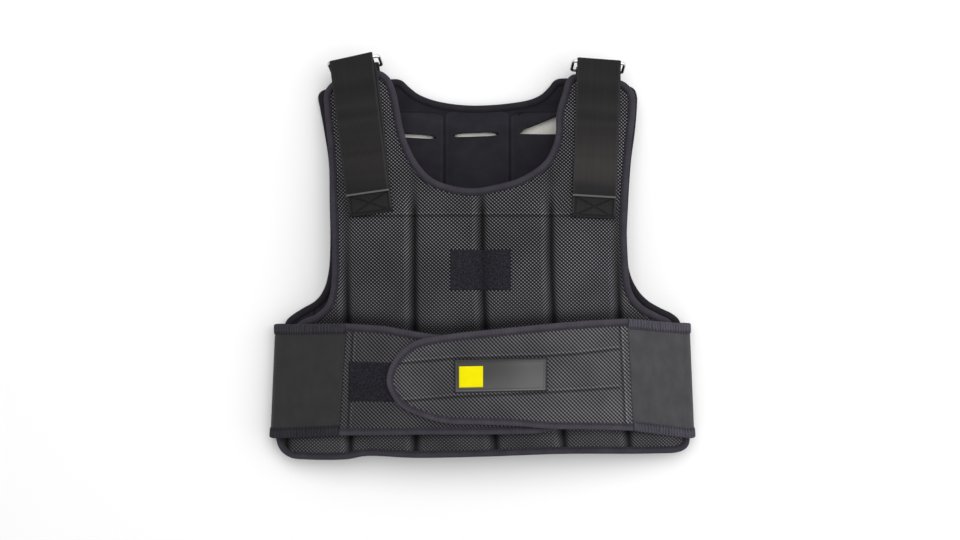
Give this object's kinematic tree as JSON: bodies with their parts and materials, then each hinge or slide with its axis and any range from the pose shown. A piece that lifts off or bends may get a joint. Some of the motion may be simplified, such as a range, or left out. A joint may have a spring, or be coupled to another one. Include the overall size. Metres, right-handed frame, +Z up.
{
  "type": "weighted vest",
  "caption": "Padded workout vest lying flat: ribbed front and back panels, webbing shoulder straps through steel rings, and an elastic-sided belt whose flaps close over the front.",
  "frame": {"origin": "centre of the bounding box's bottom face, on the floor that the vest lies on", "axes": "+Y towards the head end, +X to the viewer's right across the vest, +Z up out of its front"},
  "size_m": [0.498, 0.4706, 0.0948],
  "materials": {
    "mesh": "black spacer mesh with pale dots",
    "lining": "smooth dark lining",
    "tape": "matt knitted binding tape",
    "webbing": "woven webbing",
    "steel": "bright plated wire",
    "elastic": "smooth elastic",
    "loop": "brushed loop pile",
    "rubber": "soft matt",
    "accent": "matt",
    "weight": "pale coated cloth"
  },
  "bodies": {
    "root": {"front_panel": "mesh", "front_binding": "tape", "back_panel": "lining", "back_binding": "tape", "weight_left": "weight", "weight_centre": "weight", "weight_right": "weight", "strap_left": "webbing", "strap_right": "webbing", "ring_left": "steel", "ring_right": "steel", "tab_left": "webbing", "tab_right": "webbing", "chest_patch": "loop", "belt_back": "mesh", "elastic_left": "elastic", "elastic_left_top_tape": "tape", "elastic_left_low_tape": "tape", "elastic_right": "elastic", "elastic_right_top_tape": "tape", "elastic_right_low_tape": "tape", "under_flap": "mesh", "under_flap_tape": "tape", "over_flap": "mesh", "over_flap_tape": "tape", "belt_patch": "loop", "badge": "rubber", "badge_square": "accent"}
  },
  "joints": []
}
